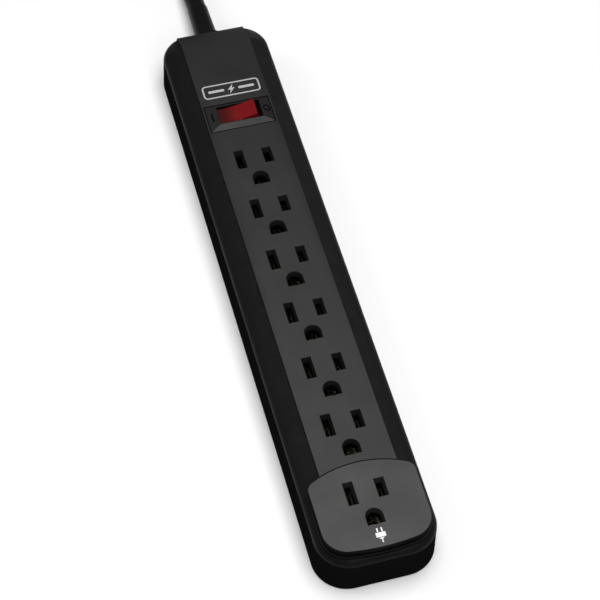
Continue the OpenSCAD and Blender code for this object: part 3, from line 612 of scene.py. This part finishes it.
# Width and thickness of the dark line painted round the bezel's foot, the seam there with its shadow
# painted in.
SEAM_SHADOW_W = 0.4 * MM
SEAM_SHADOW_THICK = 0.02 * MM
ON_MARK = (0.8 * MM, 4.8 * MM)
OFF_MARK_R, OFF_MARK_LINE = 1.9 * MM, 0.7 * MM
TINY_CORNER = 0.1 * MM
PLUG_SIGN_Y = -136.5 * MM
BOLT_SIGN_Y = 101.1 * MM
FRAME_HALF_X, FRAME_HALF_Y = 13.4 * MM, 4.0 * MM
FRAME_CORNER, FRAME_LINE = 1.8 * MM, 0.7 * MM
BAR_NEAR, BAR_FAR, BAR_HALF = 3.4 * MM, 10.8 * MM, 0.7 * MM
BAR_CORNER = 0.3 * MM


def in_mm(points):
    return [(x * MM, y * MM) for x, y in points]


def bezel_side(side):
    """The plane of the bezel's sloping face on one side: X runs across the strip, Y along it."""
    rise = BEZEL_HIGH.z - PANEL_Z
    outer = BEZEL_HIGH.x if side > 0 else BEZEL_LOW.x
    middle = Vector((outer - side * BEZEL_SLOPE / 2, SWITCH_Y, PANEL_Z + rise / 2))
    return Matrix.Translation(middle) @ Matrix.Rotation(side * math.atan2(rise, BEZEL_SLOPE), 4, "Y")


def ring(radius, width, steps=14):
    """A flat ring about the origin, as two halves."""
    outer = [arc((0, 0), radius, a, a + 180, steps) for a in (0, 180)]
    inner = [arc((0, 0), radius - width, a + 180, a, steps) for a in (0, 180)]
    return [o + i for o, i in zip(outer, inner)]


def switch_marks():
    """The usual on and off signs, one on each side of the bezel."""
    wide, tall = ON_MARK
    bar = round_box(-wide / 2, wide / 2, -tall / 2, tall / 2, TINY_CORNER)
    return [printed("mark_on", [bar], bezel_side(-1)),
            printed("mark_off", ring(OFF_MARK_R, OFF_MARK_LINE), bezel_side(1))]


def bezel_seam_shadow():
    """The dark line round the foot of the switch's bezel: the seam there, with its shadow painted in."""
    x0, x1, y0, y1 = BEZEL_LOW.x, BEZEL_HIGH.x, BEZEL_LOW.y, BEZEL_HIGH.y
    strips = [(x0 - SEAM_SHADOW_W, x1 + SEAM_SHADOW_W, y0 - SEAM_SHADOW_W, y0), (x0 - SEAM_SHADOW_W, x1 + SEAM_SHADOW_W, y1, y1 + SEAM_SHADOW_W),
              (x0 - SEAM_SHADOW_W, x0, y0, y1), (x1, x1 + SEAM_SHADOW_W, y0, y1)]
    outlines = [[(a, c), (b, c), (b, d), (a, d)] for a, b, c, d in strips]
    return printed("bezel_seam_shadow", outlines, Matrix.Translation((0, 0, PANEL_Z)), SEAM_SHADOW_THICK)


def plug_sign():
    """A plug seen from the side: body, two prongs and a short cord."""
    at = Matrix.Translation((0, PLUG_SIGN_Y, PAD_Z))
    body = in_mm([(-1.9, -0.8), (2.1, -0.8), (2.1, 1.2), (-1.9, 1.2)])
    neck = in_mm([(1.3, -1.1), (0.5, -1.8), (-0.3, -1.8), (-1.1, -1.1)])
    cord = round_box(-0.1 * MM, 0.4 * MM, -3.3 * MM, -2.0 * MM, TINY_CORNER)
    prongs = [round_box(x * MM, (x + 0.6) * MM, 1.4 * MM, 3.2 * MM, TINY_CORNER) for x in (-1.1, 0.7)]
    return printed("mark_plug", [body, neck, cord] + prongs, at)


def rounded_frame(half_x, half_y, corner, line):
    """A rounded frame about the origin, as a right and a left half."""
    outer = round_box(-half_x, half_x, -half_y, half_y, corner)
    inner = round_box(line - half_x, half_x - line, line - half_y, half_y - line, corner - line)
    count = len(outer)
    halves = []
    for side, first in ((1, 3 * count // 4), (-1, count // 4)):
        out = [outer[i % count] for i in range(first, first + count // 2)]
        back = [inner[i % count] for i in range(first, first + count // 2)][::-1]
        halves.append([(0, -side * half_y)] + out + [(0, side * half_y), (0, side * (half_y - line))]
                      + back + [(0, -side * (half_y - line))])
    return halves


def bolt_sign():
    """A lightning bolt between two plain bars in a rounded frame, on the panel near the lead's end."""
    at = Matrix.Translation((0, BOLT_SIGN_Y, PANEL_Z))
    bolt = in_mm([(1.2, 2.8), (-1.7, -0.4), (-0.3, -0.4), (-1.2, -2.8), (1.7, 0.6), (0.4, 0.6)])
    bars = [round_box(x0, x1, -BAR_HALF, BAR_HALF, BAR_CORNER)
            for x0, x1 in ((-BAR_FAR, -BAR_NEAR), (BAR_NEAR, BAR_FAR))]
    frame_lines = rounded_frame(FRAME_HALF_X, FRAME_HALF_Y, FRAME_CORNER, FRAME_LINE)
    return printed("mark_bolt", [bolt] + frame_lines + bars, at)


# One near-black ink for the switch's moulded marks and for the painted shadow in the bezel's seam.
for made, finish in ((switch_marks() + [bezel_seam_shadow()], MARK_AND_SEAM_SHADOW_INK), ([plug_sign()], WHITE),
                     ([bolt_sign()], SILVER)):
    for mark in made:
        mark.data.materials.append(finish)


# ---------------------------------------------------------------- studio


FLOOR_HALF = 1.5
FLOOR_CELLS = 8
FLOOR_WHITE = (0.88, 0.88, 0.88)
WORLD_LIGHT = 0.18
# Area lights: name, place, point aimed at, width, height and watts
LIGHTS = (("overhead", (0.1, -0.1, 1.5), (0, -0.1, 0), 1.4, 1.0, 24),
          ("left", (-0.95, 0.5, 0.95), (0, -0.05, 0), 0.5, 0.5, 2),
          ("front", (0.13, -1.1, 1.1), (0, 0.08, 0), 0.5, 0.5, 2.6))


def area_light(name, at, aim, width, height, watts):
    data = bpy.data.lights.new(name, "AREA")
    data.shape = "RECTANGLE"
    data.size = width
    data.size_y = height
    data.energy = watts
    lamp = bpy.data.objects.new(name, data)
    lamp.location = at
    lamp.rotation_euler = (Vector(aim) - Vector(at)).to_track_quat("-Z", "Y").to_euler()
    bpy.context.scene.collection.objects.link(lamp)


def make_floor():
    mesh = bmesh.new()
    bmesh.ops.create_grid(mesh, x_segments=FLOOR_CELLS, y_segments=FLOOR_CELLS, size=FLOOR_HALF)
    data = bpy.data.meshes.new("floor")
    mesh.to_mesh(data)
    mesh.free()
    floor = bpy.data.objects.new("floor", data)
    bpy.context.scene.collection.objects.link(floor)
    s = Shader("floor_paper")
    s.set(Base_Color=FLOOR_WHITE, Roughness=0.75, Specular_IOR_Level=0.2)
    data.materials.append(s.material)


def make_studio():
    make_floor()
    world = bpy.data.worlds.new("studio")
    bpy.context.scene.world = world
    world.use_nodes = True
    background = world.node_tree.nodes["Background"]
    background.inputs["Color"].default_value = (1, 1, 1, 1)
    background.inputs["Strength"].default_value = WORLD_LIGHT
    for light in LIGHTS:
        area_light(*light)
    bpy.context.scene.view_settings.view_transform = "Standard"


make_studio()
